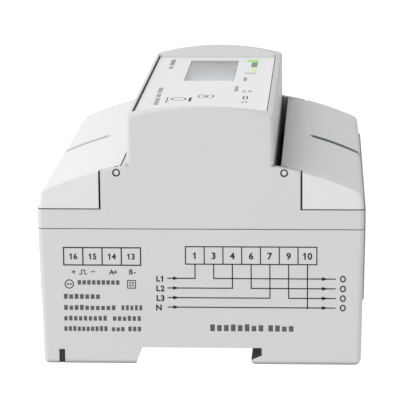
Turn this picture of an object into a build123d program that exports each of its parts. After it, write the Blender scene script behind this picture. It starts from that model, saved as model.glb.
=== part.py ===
from build123d import *
import math
import os

# Smart electric meter for a 35 mm rail, seven modules wide.
# X runs across the profile, Y along the rail, Z away from the wall.
# Heights are measured from the rail seat, which is the plane Z = 0.

# --- case ---
module_width = 18.0
module_count = 7
body_width = module_width * module_count
half_width = body_width / 2
foot_z = -5.13
case_seam_z = 37.6
cover_seam_z = 43.8
nose_apex_z = 75.4
nose_corner_z = 72.5
label_z = 72.0
half_foot = 49.0
half_seam = 49.8
corner_radius = 1.4
foot_radius = 2.0
wall = 2.0
end_wall = 2.4
nose_half_base = 22.5
nose_half_top = 22.3
shoulder_x = 30.45
seam_gap = 0.3

# --- rail slot ---
slot_left_x = -18.92
slot_left_foot_x = -20.33
slot_chamfer_z = -1.2
slot_right_x = 18.55
hook_root_z = -2.43
hook_tip_x = 15.3
hook_tip_z = -3.85
foot_slot_x = (-44.2, -42.4)
foot_slot_top = foot_z + 4.4

# --- terminal covers ---
hinge_x = 25.5
hinge_z = 55.11
pin_radius = 0.8
pin_hole_radius = 0.86
pin_recess_radius = 1.2
pin_recess_depth = 1.0
cover_inner_x = 24.5
cover_edge_x = 31.0
cover_wall = 1.8
cover_end_gap = 0.4
crown_inner = (22.5, 57.05)
crown_outer = (49.0, 48.9)
crown_radius = 100.0
groove_y = -1.5
groove_width = 4.2
groove_depth = 1.2
groove_start_x = 35.0
groove_notch_z = 46.9
lug_radius = 1.6
lug_length = 3.0
cover_shoulder_x = 48.55
cover_inner_reach = 47.5

# --- faceplate and display ---
label_left_x = -21.1
label_right_x = 20.3
label_half_length = 54.7
label_thickness = 1.0
label_gap = 0.4
recess_top_y = 62.0
window_x = (-9.15, 7.45)
window_y = (4.7, 47.3)
display_top_z = 68.2
display_thickness = 2.2
backlight_thickness = 2.7
display_margin = (1.6, 2.0)
display_lip = 0.3
window_thickness = 0.9
nose_ceiling_z = 69.0
lamp_spots = [(11.6, -15.5), (13.6, -15.5)]
lamp_radius = 0.6

# --- power terminals, on the +X side ---
power_numbers = [1, 3, 4, 6, 7, 9, 10]
power_pitch = 17.0
power_x = 38.5
power_bar_z = 22.47
bar_thickness = 2.0
bar_width = 7.2
deck_top_z = 42.9
deck_thickness = 1.9

# --- signal terminals, on the -X side ---
signal_numbers = [13, 14, 15, 16]
signal_pitch = 7.0
signal_x = -40.0
signal_bar_z = 31.0

# --- rail clips ---
clip_ys = {"front": -33.0, "rear": 33.0}
clip_tip_x = -15.0
clip_tail_x = -52.6
clip_wing_half = 7.0
clip_neck_half = 4.5
clip_bottom_z = -4.9
clip_wing_z = -3.7
clip_top_z = -1.2
clip_window_x = (-45.4, -33.0)
clip_window_half = 2.2
clip_wing_x = (-48.0, -21.5)
spring_post_x = (-45.0, -43.4)
spring_post_half = 1.6
spring_wire = 0.22
spring_radius = 1.3
spring_turns = 7
spring_z = -2.9

# --- boards ---
board_thickness = 1.6
main_board_z = 34.4
main_board_spots = [(-22, -52), (-22, 52), (22, -41), (22, 42.5)]
display_board_z = 61.4
display_board_spots = [(-16, -50), (-16, 55), (16, -50), (16, 55)]
board_post_radius = 2.5
pilot_radius = 1.05
screw_hole_radius = 1.3
main_board_half = (26, 58)
display_board_x = (-19, 19)
display_board_y = (-56, 58)
chip_sizes = [(-14, -8, 5.0, 5.0), (-14, 8, 3.5, 5.0), (0, -20, 4.5, 4.5)]
chip_height = 1.6
can_radius = 5.0
can_height = 16.0
can_spots = [(12, 28), (12, 41)]
cell_radius = 7.2
cell_y = (-50, -26)
loop_end_x = 4.0
loop_bridge = 7.2
ring_x = (14, 23)
ring_radius = (4.3, 7.0)


def box(x0, x1, y0, y1, z0, z1):
    """A block between two corners."""
    centre = ((x0 + x1) / 2, (y0 + y1) / 2, (z0 + z1) / 2)
    return Pos(*centre) * Box(abs(x1 - x0), abs(y1 - y0), abs(z1 - z0))


def prism_y(sketch, y0, y1):
    """A sketch of (X, Z) points, pushed along Y."""
    plane = Plane(origin=(0, y1, 0), x_dir=(1, 0, 0), z_dir=(0, -1, 0))
    return extrude(plane * sketch, amount=y1 - y0, dir=(0, -1, 0))


def prism_x(sketch, x0, x1):
    """A sketch of (Y, Z) points, pushed along X."""
    plane = Plane(origin=(x0, 0, 0), x_dir=(0, 1, 0), z_dir=(1, 0, 0))
    return extrude(plane * sketch, amount=x1 - x0, dir=(1, 0, 0))


def polygon(*points):
    return Polygon(*points, align=None)


def post(x, y, z0, z1, radius):
    """An upright cylinder."""
    return Pos(x, y, (z0 + z1) / 2) * Cylinder(radius, z1 - z0)


def rod_y(x, z, y0, y1, radius):
    """A cylinder lying along Y."""
    return Pos(x, (y0 + y1) / 2, z) * Rot(90, 0, 0) * Cylinder(radius, abs(y1 - y0))


def rod_x(y, z, x0, x1, radius):
    """A cylinder lying along X."""
    return Pos((x0 + x1) / 2, y, z) * Rot(0, 90, 0) * Cylinder(radius, abs(x1 - x0))


def rounded_column(half_low, half_high, z0, z1):
    """The case's footprint with rounded corners, between two heights."""
    low = Pos(0, 0, z0) * RectangleRounded(2 * half_low, body_width, corner_radius)
    high = Pos(0, 0, z1) * RectangleRounded(2 * half_high, body_width, corner_radius)
    return loft([low, high], ruled=True)


def mirror_x(shape):
    return mirror(shape, about=Plane.YZ)


def crown_centre():
    """Centre of the arc that crowns a terminal cover."""
    (x0, z0), (x1, z1) = crown_inner, crown_outer
    chord = math.hypot(x1 - x0, z1 - z0)
    rise = math.sqrt(crown_radius**2 - (chord / 2) ** 2)
    middle = ((x0 + x1) / 2, (z0 + z1) / 2)
    return middle[0] + rise * (z1 - z0) / chord, middle[1] - rise * (x1 - x0) / chord


def crown(x, drop=0.0):
    """Height of the cover's crown at X, or of a surface a fixed depth below it."""
    centre_x, centre_z = crown_centre()
    return centre_z + math.sqrt((crown_radius - drop) ** 2 - (x - centre_x) ** 2)


def crown_arc(x0, x1, drop=0.0):
    middle = (x0 + x1) / 2
    ends = (x0, crown(x0, drop)), (middle, crown(middle, drop)), (x1, crown(x1, drop))
    return ThreePointArc(*ends)


def outline(*parts):
    """A face from arcs and lists of corner points, joined in order."""
    edges = []
    for part in parts:
        edges += [Polyline(*part)] if isinstance(part, list) else [part]
    return make_face(edges)


def seam_groove(z):
    """A shallow line round the case where two shells meet."""
    depth, height = 0.5, 0.1
    outer = box(-60, 60, -70, 70, z - height, z + height)
    inner = Pos(0, 0, z) * Box(2 * (half_seam - depth), body_width - 2 * depth, 1)
    return outer - inner


def side_band(z0, z1):
    """A slightly proud panel on the +X side wall."""
    proud, length = 0.45, 118.0
    lean = (half_seam - half_foot) / (case_seam_z - foot_z)

    def x_at(z):
        return half_foot + lean * (min(z, case_seam_z) - foot_z)

    face = polygon(
        (x_at(z0) - 1, z0),
        (x_at(z0), z0),
        (x_at(z0) + proud, z0 + proud),
        (x_at(z1) + proud, z1),
        (x_at(z1) - 1, z1),
    )
    return prism_y(face, -length / 2, length / 2)


# ------------------------------------------------------------- terminals


class Terminal:
    """One cage terminal: a screw lifts a cage that clamps a wire to a bar.

    The cage is drawn at its lowest, which is fully open.
    """

    def __init__(self, side, x, bar_z, power):
        self.side = side
        self.x = x
        self.bar_z = bar_z
        self.bar_thickness = bar_thickness if power else 0.8
        self.bar_half = bar_width / 2 if power else 1.2
        self.window_half = 4.3 if power else 1.7
        self.window_drop = 9.1 if power else 3.4
        self.cage_half_x = 5.5 if power else 2.8
        self.cage_half_y = 5.6 if power else 2.7
        self.cage_floor = 1.6 if power else 1.0
        self.cage_roof = 3.2 if power else 2.0
        self.travel = 8.0 if power else 3.0
        self.shank_radius = 2.5 if power else 1.3
        self.head_radius = 3.8 if power else 2.3
        self.head_height = 3.2 if power else 2.2
        self.tunnel_half = 4.2 if power else 1.7
        self.play = 0.3

    @property
    def window_top(self):
        return self.bar_z + self.bar_thickness + 0.2

    @property
    def window_bottom(self):
        return self.bar_z - self.window_drop

    @property
    def roof_top(self):
        return self.window_top + self.cage_roof

    @property
    def ledge_z(self):
        return self.roof_top + self.travel + 0.2

    @property
    def head_z(self):
        return self.ledge_z + 1.7

    @property
    def tunnel_z(self):
        return self.window_bottom + self.window_drop / 2

    def cage(self, y):
        body = box(
            self.x - self.cage_half_x,
            self.x + self.cage_half_x,
            y - self.cage_half_y,
            y + self.cage_half_y,
            self.window_bottom - self.cage_floor,
            self.roof_top,
        )
        window = box(
            self.x - 10,
            self.x + 10,
            y - self.window_half,
            y + self.window_half,
            self.window_bottom,
            self.window_top,
        )
        upright = body.edges().filter_by(Axis.Z)
        body = fillet(upright, radius=0.6)
        thread = post(self.x, y, self.window_top - 1, self.roof_top + 1, self.shank_radius + 0.06)
        return body - window - thread

    def screw(self, y):
        tip_z = self.bar_z + self.bar_thickness + 0.6
        shank = post(self.x, y, tip_z, self.head_z + 0.5, self.shank_radius)
        head = post(self.x, y, self.head_z, self.head_z + self.head_height, self.head_radius)
        rim = head.edges().filter_by(GeomType.CIRCLE).sort_by(Axis.Z)[-1]
        head = fillet(rim, radius=0.4)
        reach = self.head_radius * 0.72
        slot_width = self.head_radius * 0.24
        slot_z = self.head_z + self.head_height * 0.45
        cross = Pos(self.x, y, slot_z + 5) * (
            Box(2 * reach, slot_width, 10) + Box(slot_width, 2 * reach, 10)
        )
        return shank + head - cross

    def bay(self, y):
        """The hollow that a terminal needs in its block."""
        reach_x = self.cage_half_x + 1.2
        pocket = box(
            self.x - reach_x,
            self.x + reach_x,
            y - self.cage_half_y - self.play,
            y + self.cage_half_y + self.play,
            self.window_bottom - self.cage_floor - 3,
            self.ledge_z,
        )
        neck = post(self.x, y, self.ledge_z - 1, self.head_z, self.shank_radius + 0.35)
        seat = post(self.x, y, self.head_z - 0.1, deck_top_z - 1.0, self.head_radius + 0.25)
        mouth = post(self.x, y, deck_top_z - 2.0, deck_top_z + 1, self.head_radius - 0.15)
        return pocket + neck + seat + mouth + self.tunnel(y, self.x, 60 * self.side)

    def tunnel(self, y, x0, x1):
        """The way in for a wire."""
        return box(
            min(x0, x1),
            max(x0, x1),
            y - self.tunnel_half,
            y + self.tunnel_half,
            self.tunnel_z - self.tunnel_half,
            self.tunnel_z + self.tunnel_half,
        )

    def bar_slot(self, y):
        """The hole in the block's inner wall that the bar passes through."""
        inner = self.x - self.side * 20
        return box(
            min(self.x, inner),
            max(self.x, inner),
            y - self.bar_half - 0.4,
            y + self.bar_half + 0.4,
            self.bar_z - 0.4,
            self.bar_z + self.bar_thickness + 0.4,
        )


power = Terminal(1, power_x, power_bar_z, True)
signal = Terminal(-1, signal_x, signal_bar_z, False)
power_ys = [(i - (len(power_numbers) - 1) / 2) * power_pitch for i in range(len(power_numbers))]
signal_ys = [(i - (len(signal_numbers) - 1) / 2) * signal_pitch for i in range(len(signal_numbers))]


def power_terminal_block():
    body = box(29.5, 46.6, -60.2, 60.2, 9.0, deck_top_z)
    deck = box(22.8, 47.4, -60.2, 60.2, deck_top_z - deck_thickness, deck_top_z)
    block = body + deck
    for y in power_ys:
        block -= power.bay(y)
        block -= power.bar_slot(y)
    return block


def signal_terminal_block():
    reach = 16.0
    body = box(-46.6, -33.0, -reach, reach, signal.window_bottom - 4, deck_top_z)
    deck = box(-47.4, -22.8, -60.2, 60.2, deck_top_z - deck_thickness, deck_top_z)
    block = body + deck
    for y in signal_ys:
        block -= signal.bay(y)
        block -= signal.bar_slot(y)
    return block


# ------------------------------------------------------------------ case


def rail_slot():
    """The space that the rail takes, open at the foot."""
    below = foot_z - 2
    lip_edge = ThreePointArc((15.25, -4.25), (15.8, -4.85), (17.4, foot_z))
    corners_out = [
        (17.4, foot_z),
        (17.4, below),
        (slot_left_foot_x, below),
        (slot_left_foot_x, foot_z),
        (slot_left_x, slot_chamfer_z),
        (slot_left_x, 0),
        (slot_right_x, 0),
        (slot_right_x, hook_root_z),
        (hook_tip_x, hook_tip_z),
        (15.25, -4.25),
    ]
    return prism_y(outline(lip_edge, corners_out), -half_width - 1, half_width + 1)


def clip_channel(y):
    """The T-shaped channel that a rail clip slides in."""
    wide = box(-60, -18, y - clip_wing_half - 0.3, y + clip_wing_half + 0.3, clip_wing_z - 0.2, -0.7)
    neck = box(-60, -18, y - clip_neck_half - 0.3, y + clip_neck_half + 0.3, foot_z - 1, clip_wing_z)
    return wide + neck


def foot_corner():
    """What rounds off the +X foot."""
    square = polygon(
        (half_foot - foot_radius, foot_z),
        (half_foot + 1, foot_z - 1),
        (half_foot + 1, foot_z + foot_radius),
        (half_foot + 0.03, foot_z + foot_radius),
    )
    round_off = Pos(half_foot + 0.03 - foot_radius, foot_z + foot_radius) * Circle(foot_radius)
    return prism_y(square - round_off, -half_width - 1, half_width + 1)


def base_housing():
    floor_z = 2.2
    inner_x = half_foot - 2.1
    inner_y = half_width - end_wall + 0.2
    foot_inner_x = 21.1
    shell = rounded_column(half_foot, half_seam, foot_z, case_seam_z)
    band = side_band(14.4, case_seam_z)
    shell += band
    shell += mirror_x(band)
    shell -= box(-inner_x, inner_x, -inner_y, inner_y, floor_z, case_seam_z + 1)
    for side in (-1, 1):
        xs = sorted((side * foot_inner_x, side * inner_x))
        shell -= box(xs[0], xs[1], -inner_y, inner_y, foot_z + wall, floor_z + 1)
    for y in clip_ys.values():
        reach = clip_wing_half + 2.2
        shell += box(-inner_x - 0.5, -foot_inner_x + 0.5, y - reach, y + reach, foot_z, 0.9)
        shell -= clip_channel(y)
        shell += box(*spring_post_x, y - spring_post_half, y + spring_post_half, -4.6, -0.5)
    shell -= rail_slot()
    corner = foot_corner()
    shell -= corner
    shell -= mirror_x(corner)
    for end in (-1, 1):
        ys = sorted((end * (half_width + 1), end * (inner_y - 0.2)))
        shell -= box(*foot_slot_x, *ys, foot_z - 1, foot_slot_top)
    for y in power_ys:
        shell -= power.tunnel(y, 44, 60)
    for y in signal_ys:
        shell -= signal.tunnel(y, -60, -44)
    for y in (-59.5, -42.5, 42.5, 59.5):
        shell += box(30.5, inner_x + 0.3, y - 0.7, y + 0.7, foot_z + wall - 0.3, 8.9)
    for x, y in main_board_spots:
        shell += post(x, y, floor_z - 0.5, main_board_z, board_post_radius)
        shell -= post(x, y, 26, main_board_z + 1, pilot_radius)
    shell -= seam_groove(case_seam_z)
    return shell


def nose_outline():
    """The nose in profile, down to the case seam."""
    top = ThreePointArc(
        (-nose_half_top, nose_corner_z), (0, nose_apex_z), (nose_half_top, nose_corner_z)
    )
    flanks = [
        (nose_half_top, nose_corner_z),
        (nose_half_base, case_seam_z),
        (-nose_half_base, case_seam_z),
        (-nose_half_top, nose_corner_z),
    ]
    return outline(top, flanks)


def nose():
    body = prism_y(nose_outline(), -half_width, half_width)
    upright = [
        e
        for e in body.edges()
        if abs(e.center().Y) > half_width - 0.01 and abs(e.center().X) > 20 and e.length > 20
    ]
    body = fillet(upright, radius=corner_radius)
    rim = [
        e
        for e in body.edges()
        if e.center().Z > nose_corner_z - 0.5 and e.length > 1.0
    ]
    return fillet(rim, radius=0.7)


def hinge_shoulders():
    """End walls that rise beside the nose to hold the cover pins, both ends."""
    inner = nose_half_base - 2
    face = outline(
        crown_arc(inner, shoulder_x),
        [
            (shoulder_x, crown(shoulder_x)),
            (shoulder_x, cover_seam_z - 1),
            (inner, cover_seam_z - 1),
            (inner, crown(inner)),
        ],
    )
    shoulders = []
    for end in (-1, 1):
        ys = sorted((end * (half_width - end_wall), end * half_width))
        plate = prism_y(face, ys[0], ys[1])
        recess = sorted((end * (half_width - pin_recess_depth), end * (half_width + 1)))
        plate -= rod_y(hinge_x, hinge_z, ys[0] - 1, ys[1] + 1, pin_hole_radius)
        plate -= rod_y(hinge_x, hinge_z, recess[0], recess[1], pin_recess_radius)
        shoulders += [plate, mirror_x(plate)]
    return shoulders


def nose_ledge():
    """A ledge along the -X flank of the nose that closes the gap to that cover's edge."""
    edge_height = crown(cover_inner_x) - hinge_z
    swept = math.hypot(hinge_x - cover_inner_x, edge_height) + seam_gap
    inner = nose_half_base - 1
    face = outline(
        crown_arc(inner, hinge_x),
        [
            (hinge_x, crown(hinge_x)),
            (hinge_x, hinge_z),
            (inner, hinge_z),
            (inner, crown(inner)),
        ],
    )
    reach = half_width - end_wall
    ledge = prism_y(face, -reach, reach) - rod_y(hinge_x, hinge_z, -half_width, half_width, swept)
    return mirror_x(ledge)


def label_recess():
    """The pocket for the faceplate, with a ramp at each end of the nose."""
    floor_z = label_z - label_thickness
    side = polygon(
        (-recess_top_y, nose_apex_z + 0.15),
        (-label_half_length, label_z),
        (-label_half_length, floor_z),
        (label_half_length, floor_z),
        (label_half_length, label_z),
        (recess_top_y, nose_apex_z + 0.15),
    )
    return prism_x(side, label_left_x, label_right_x)


def upper_housing():
    inner_x = half_seam - wall - 0.3
    inner_y = half_width - end_wall
    rim_top = cover_seam_z - seam_gap / 2
    rim = rounded_column(half_seam, half_seam, case_seam_z, rim_top)
    band = side_band(case_seam_z - 0.4, rim_top) & box(0, 60, -70, 70, case_seam_z, rim_top)
    rim += band
    rim += mirror_x(band)
    rim -= box(-inner_x, inner_x, -inner_y, inner_y, case_seam_z - 1, rim_top + 1)
    shell = rim + nose()
    for shoulder in hinge_shoulders():
        shell += shoulder
    shell += nose_ledge()
    nose_inner = nose_half_top - wall
    shell -= box(-nose_inner, nose_inner, -inner_y, inner_y, case_seam_z - 1, nose_ceiling_z)
    shell -= label_recess()
    play = 0.2
    margin_x, margin_y = display_margin
    shell -= display_block(margin_x + play, margin_y + play, nose_ceiling_z - 1, label_z)
    for x, y in lamp_spots:
        shell -= post(x, y, nose_ceiling_z - 1, label_z, lamp_radius + 0.05)
    for x, y in display_board_spots:
        board_top = display_board_z + board_thickness
        shell += post(x, y, board_top, nose_ceiling_z + 0.5, board_post_radius)
        shell -= post(x, y, board_top - 1, nose_ceiling_z - 1, pilot_radius)
    for end in (-1, 1):
        ys = sorted((end * (inner_y + 0.1), end * (inner_y - 1.2)))
        shell += box(-12, 12, ys[0], ys[1], case_seam_z - 1.8, case_seam_z + 2.4)
    shell -= seam_groove(case_seam_z)
    return shell


def terminal_cover():
    """The +X cover, shut. The -X cover is its mirror image."""
    bottom = cover_seam_z + seam_gap / 2
    top_corner = (cover_shoulder_x, crown(cover_shoulder_x))
    outside = outline(
        crown_arc(cover_inner_x, cover_shoulder_x),
        [
            top_corner,
            (cover_shoulder_x + 0.6, crown(cover_shoulder_x) - 0.95),
            (half_seam - 0.1, bottom),
            (cover_inner_x, bottom),
            (cover_inner_x, crown(cover_inner_x)),
        ],
    )
    body = prism_y(outside, -half_width, half_width)
    upright = [
        e
        for e in body.edges()
        if abs(e.center().Y) > half_width - 0.01 and e.center().X > 49 and e.length > 3
    ]
    body = fillet(upright, radius=corner_radius - 0.2)
    reach = cover_inner_reach
    inside = outline(
        crown_arc(cover_inner_x - 2, reach, cover_wall),
        [
            (reach, crown(reach, cover_wall)),
            (half_seam - 0.1 - cover_wall, bottom - 1),
            (cover_inner_x - 2, bottom - 1),
            (cover_inner_x - 2, crown(cover_inner_x - 2, cover_wall)),
        ],
    )
    body -= prism_y(inside, -half_width + cover_wall, half_width - cover_wall)
    plate_end = half_width - end_wall - cover_end_gap
    for end in (-1, 1):
        ys = sorted((end * plate_end, end * (half_width + 1)))
        body -= box(20, cover_edge_x, ys[0], ys[1], 40, 60)
        lug = sorted((end * plate_end, end * (plate_end - lug_length)))
        pin = sorted((end * (plate_end - 1), end * (half_width - 0.2)))
        body += rod_y(hinge_x, hinge_z, *lug, lug_radius)
        body += rod_y(hinge_x, hinge_z, *pin, pin_radius)
    groove_half = groove_width / 2
    plan = Pos(groove_start_x + 10, groove_y, 45) * extrude(
        SlotOverall(20 + 2 * groove_half, groove_width), amount=20
    )
    below = outline(
        crown_arc(30, 49.8, groove_depth),
        [(49.8, crown(49.8, groove_depth)), (49.8, 40), (30, 40), (30, crown(30, groove_depth))],
    )
    body -= plan - prism_y(below, -20, 20)
    notch_x = cover_shoulder_x - 0.05
    body -= box(notch_x, notch_x + 3, groove_y - groove_half, groove_y + groove_half, groove_notch_z, 50)
    return body


def faceplate():
    plate = box(
        label_left_x + label_gap,
        label_right_x - label_gap,
        -label_half_length + 0.3,
        label_half_length - 0.3,
        label_z - label_thickness,
        label_z,
    )
    plate -= display_block(0, 0, label_z - 3, label_z + 1)
    for x, y in lamp_spots:
        plate -= post(x, y, label_z - 3, label_z + 1, lamp_radius + 0.05)
    return plate


# --------------------------------------------------------------- display


def display_block(grow_x, grow_y, z0, z1):
    """A block over the display opening, larger than it by these amounts on each side."""
    (x0, x1), (y0, y1) = window_x, window_y
    return box(x0 - grow_x, x1 + grow_x, y0 - grow_y, y1 + grow_y, z0, z1)


def display_window():
    play = 0.1
    bottom = label_z - label_thickness
    return display_block(-play, -play, bottom, bottom + window_thickness)


def display_frame():
    """The dark well between the window and the display glass."""
    frame = display_block(*display_margin, display_top_z, label_z - label_thickness)
    return frame - display_block(-display_lip, -display_lip, display_top_z - 1, label_z)


def display_glass():
    return display_block(*display_margin, display_top_z - display_thickness, display_top_z)


def display_backlight():
    top = display_top_z - display_thickness
    back = top - backlight_thickness
    panel = display_block(*display_margin, back, top)
    for x in (window_x[0] - 0.8, window_x[1] + 0.8):
        for y in window_y:
            panel += post(x, y, display_board_z + board_thickness, back + 0.5, 0.7)
    return panel


def display_board():
    top = display_board_z + board_thickness
    board = box(*display_board_x, *display_board_y, display_board_z, top)
    for x, y in display_board_spots:
        board -= post(x, y, 60, 65, screw_hole_radius)
    return board


def light_pipes():
    top = label_z + 0.1
    return [post(x, y, 65.0, top, lamp_radius) for x, y in lamp_spots]


def indicator_lamps():
    base = display_board_z + board_thickness
    return [box(x - 0.8, x + 0.8, y - 0.5, y + 0.5, base, base + 1.2) for x, y in lamp_spots]


# ----------------------------------------------------------- electronics


def main_board():
    half_x, half_y = main_board_half
    top = main_board_z + board_thickness
    board = box(-half_x, half_x, -half_y, half_y, main_board_z, top)
    for x, y in main_board_spots:
        board -= post(x, y, 30, 40, screw_hole_radius)
    return board


def board_screw(x, y, z, up):
    """A small screw with its head at z, pointing down, or up through a board from below."""
    turn = -1 if up else 1
    head = post(x, y, *sorted((z, z + turn * 1.4)), 2.1)
    shank = post(x, y, *sorted((z + turn * 0.2, z - turn * 6)), 1.0)
    recess = Pos(x, y, z + turn * 1.4) * Box(2.4, 0.5, 1.4)
    return head + shank - recess


def board_screws():
    top = main_board_z + board_thickness
    main = [board_screw(x, y, top, False) for x, y in main_board_spots]
    upper = [board_screw(x, y, display_board_z, True) for x, y in display_board_spots]
    return main + upper


def metering_chips():
    base = main_board_z + board_thickness
    return [box(x - a, x + a, y - b, y + b, base, base + chip_height) for x, y, a, b in chip_sizes]


def supply_transformer():
    base = main_board_z + board_thickness
    bobbin = box(-17, 3, 24, 46, base, base + 16)
    core = box(-18.5, 4.5, 30, 40, base + 3, base + 18)
    core -= box(-13.5, -0.5, 29, 41, base + 6, base + 15)
    return bobbin + core


def supply_capacitors():
    base = main_board_z + board_thickness
    cans = []
    for x, y in can_spots:
        can = post(x, y, base, base + can_height, can_radius)
        rim = can.edges().filter_by(GeomType.CIRCLE).sort_by(Axis.Z)[-1]
        cans.append(fillet(rim, radius=0.7))
    return cans


def radio_module():
    base = main_board_z + board_thickness
    card = box(-17, -1, -50, -26, base, base + 0.9)
    return card + box(-16, -2, -44, -28, base + 0.5, base + 3.2)


def backup_battery():
    base = main_board_z + board_thickness
    x, z = 9, base + cell_radius + 0.2
    cell = rod_y(x, z, *cell_y, cell_radius)
    tip = rod_y(x, z, cell_y[0] - 1, cell_y[0], 2.5)
    return cell + tip


def board_connector():
    base = main_board_z + board_thickness
    return box(15, 17.5, -12, 12, base, display_board_z)


def phase_busbars():
    """Three flat loops, each joining an incoming terminal to its outgoing one."""
    loops = []
    top = power_bar_z + bar_thickness
    for first in (0, 2, 4):
        ya, yb = power_ys[first], power_ys[first + 1]
        legs = [
            box(loop_end_x, power_x + 4.5, y - bar_width / 2, y + bar_width / 2, power_bar_z, top)
            for y in (ya, yb)
        ]
        bridge = box(loop_end_x, loop_end_x + loop_bridge, ya, yb, power_bar_z, top)
        loops.append(legs[0] + bridge + legs[1])
    return loops


def neutral_busbar():
    y = power_ys[-1]
    top = power_bar_z + bar_thickness
    bar = box(8, power_x + 4.5, y - bar_width / 2, y + bar_width / 2, power_bar_z, top)
    return bar + box(8, 10, y - bar_width / 2, y + bar_width / 2, power_bar_z, 33.8)


def current_transformers():
    """A ring round the incoming leg of each loop."""
    rings = []
    for first in (0, 2, 4):
        y = power_ys[first]
        z = power_bar_z + bar_thickness / 2
        hole, outside = ring_radius
        rings.append(rod_x(y, z, *ring_x, outside) - rod_x(y, z, ring_x[0] - 1, ring_x[1] + 1, hole))
    return rings


def signal_contacts():
    contacts = []
    for y in signal_ys:
        tail = signal_bar_z + 0.8
        arm = box(signal_x - 2.4, -27.5, y - 1.2, y + 1.2, signal_bar_z, tail)
        contacts.append(arm + box(-28.3, -27.5, y - 1.2, y + 1.2, signal_bar_z, main_board_z + 3))
    return contacts


# ------------------------------------------------------------ rail parts


def rail_clip(y):
    """A sliding clip with a sprung window, shown gripping the rail."""
    wings = box(*clip_wing_x, y - clip_wing_half, y + clip_wing_half, clip_wing_z, clip_top_z)
    spine = box(clip_tail_x, -18.0, y - clip_neck_half, y + clip_neck_half, clip_bottom_z, clip_top_z)
    jaw = polygon(
        (-19.0, clip_bottom_z),
        (-18.0, clip_bottom_z),
        (clip_tip_x, -2.7),
        (clip_tip_x, clip_top_z),
        (-19.0, clip_top_z),
    )
    clip = wings + spine + prism_y(jaw, y - clip_neck_half, y + clip_neck_half)
    clip -= box(*clip_window_x, y - clip_window_half, y + clip_window_half, -6, 0)
    clip -= box(-51.2, -49.9, y - 2.0, y + 2.0, -6, 0)
    tail = clip.edges().filter_by(Axis.Z).sort_by(Axis.X)[:2]
    return fillet(tail, radius=1.5)


def clip_spring(y):
    """A coil between the clip's window and the post in its channel."""
    x0, x1 = spring_post_x[1] + 0.1, clip_window_x[1] - 0.1
    length = x1 - x0 - 2 * spring_wire
    helix = Helix(pitch=length / spring_turns, height=length, radius=spring_radius)
    profile = Plane(origin=helix @ 0, z_dir=helix % 0) * Circle(spring_wire)
    coil = sweep(profile, path=helix)
    return Pos(x0 + spring_wire, y, spring_z) * Rot(0, 90, 0) * coil


def rail_strip():
    """The dark liner over the root and the lip of the fixed hook, where the rail bears."""
    thickness, play = 0.5, 0.05
    face = polygon(
        (slot_right_x - play, -play),
        (slot_right_x - play, hook_root_z + play),
        (hook_tip_x + play, hook_tip_z + play),
        (hook_tip_x + play, hook_tip_z + thickness),
        (slot_right_x - thickness, hook_root_z + thickness),
        (slot_right_x - thickness, -play),
    )
    return prism_y(face, -half_width + 0.2, half_width - 0.2)


def foot_slot_plugs():
    """Dark plugs that close the narrow slots in the -X foot, one at each end."""
    play = 0.05
    plugs = []
    for end in (-1, 1):
        ys = sorted((end * (half_width - end_wall), end * (half_width - 0.3)))
        plugs.append(
            box(foot_slot_x[0] + play, foot_slot_x[1] - play, *ys, foot_z + play, foot_slot_top - play)
        )
    return plugs


# ---------------------------------------------------------------- export

os.makedirs("parts", exist_ok=True)


def save(name, shape):
    """Writes one node: a solid, or a list of alike solids."""
    if isinstance(shape, list):
        shape = Compound(children=[s for item in shape for s in item.solids()])
    export_step(shape, f"parts/{name}.step")


save("base_housing", base_housing())
save("upper_housing", upper_housing())
right_cover = terminal_cover()
save("right_terminal_cover", right_cover)
save("left_terminal_cover", mirror_x(right_cover))
save("faceplate", faceplate())
save("display_window", display_window())
save("display_frame", display_frame())
save("display_glass", display_glass())
save("display_backlight", display_backlight())
save("display_board", display_board())
save("light_pipes", light_pipes())
save("indicator_lamps", indicator_lamps())
save("main_board", main_board())
save("board_screws", board_screws())
save("metering_chips", metering_chips())
save("supply_transformer", supply_transformer())
save("supply_capacitors", supply_capacitors())
save("radio_module", radio_module())
save("backup_battery", backup_battery())
save("board_connector", board_connector())
save("phase_busbars", phase_busbars())
save("neutral_busbar", neutral_busbar())
save("current_transformers", current_transformers())
save("signal_contacts", signal_contacts())
save("power_terminal_block", power_terminal_block())
save("signal_terminal_block", signal_terminal_block())
save("rail_strip", rail_strip())
save("foot_slot_plugs", foot_slot_plugs())
for number, y in zip(power_numbers, power_ys):
    save(f"power_cage_{number}", power.cage(y))
    save(f"power_screw_{number}", power.screw(y))
for number, y in zip(signal_numbers, signal_ys):
    save(f"signal_cage_{number}", signal.cage(y))
    save(f"signal_screw_{number}", signal.screw(y))
for end, y in clip_ys.items():
    save(f"rail_clip_{end}", rail_clip(y))
    save(f"clip_spring_{end}", clip_spring(y))
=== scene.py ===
import math

import bmesh
import bpy
from bpy.props import FloatProperty, FloatVectorProperty, IntProperty, PointerProperty
from mathutils import Matrix, Vector


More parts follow.
